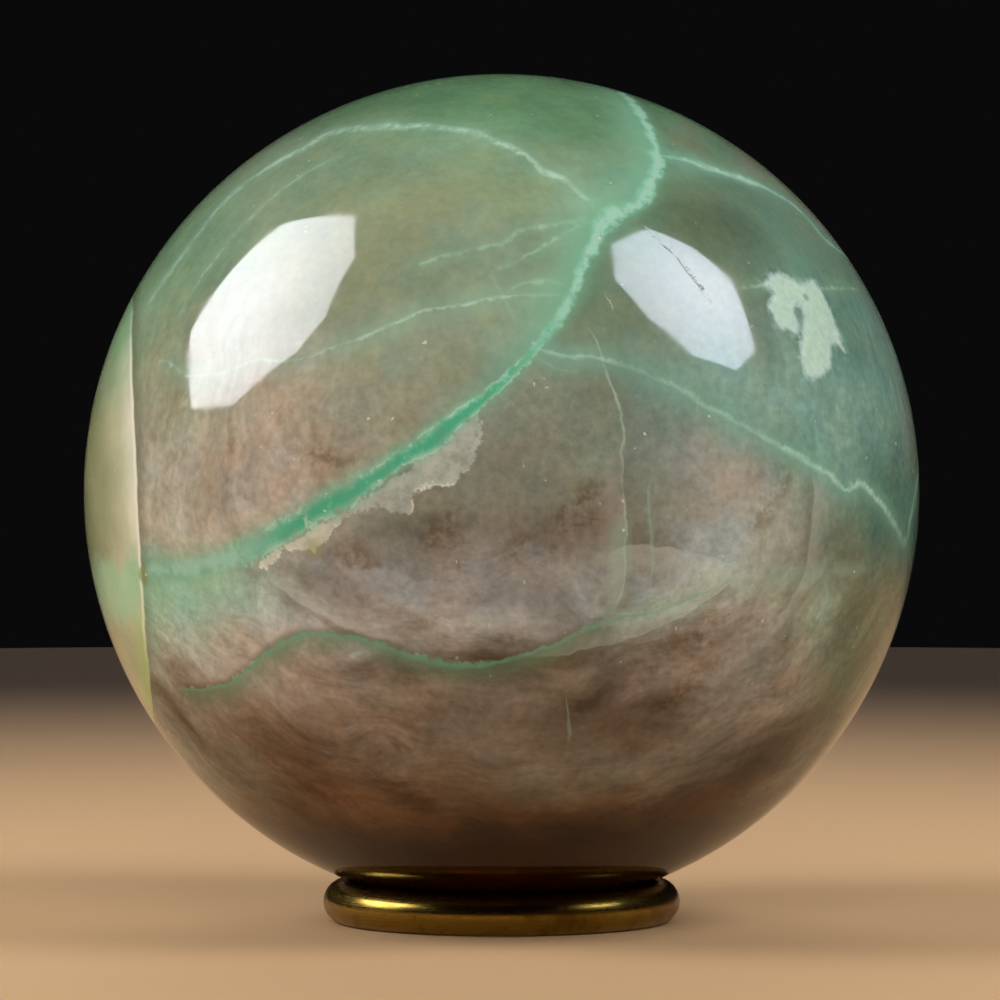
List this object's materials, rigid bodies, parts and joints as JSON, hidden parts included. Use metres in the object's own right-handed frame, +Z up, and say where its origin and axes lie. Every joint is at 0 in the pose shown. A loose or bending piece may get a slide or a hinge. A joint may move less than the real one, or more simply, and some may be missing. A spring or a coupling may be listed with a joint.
{
  "type": "garnierite sphere on a ring stand",
  "caption": "Polished green garnierite sphere, banded and veined, resting on a small round-bar brass ring stand.",
  "frame": {"origin": "on the table, at the centre of the ring's foot", "axes": "+Z up through the ring and the sphere; -Y faces the viewer of the picture; +X is to the viewer's right"},
  "size_m": [0.07, 0.07, 0.0711],
  "materials": {
    "garnierite": "polished",
    "brass": "satin"
  },
  "bodies": {
    "root": {"garnierite_sphere": "garnierite", "brass_ring": "brass"}
  },
  "joints": []
}
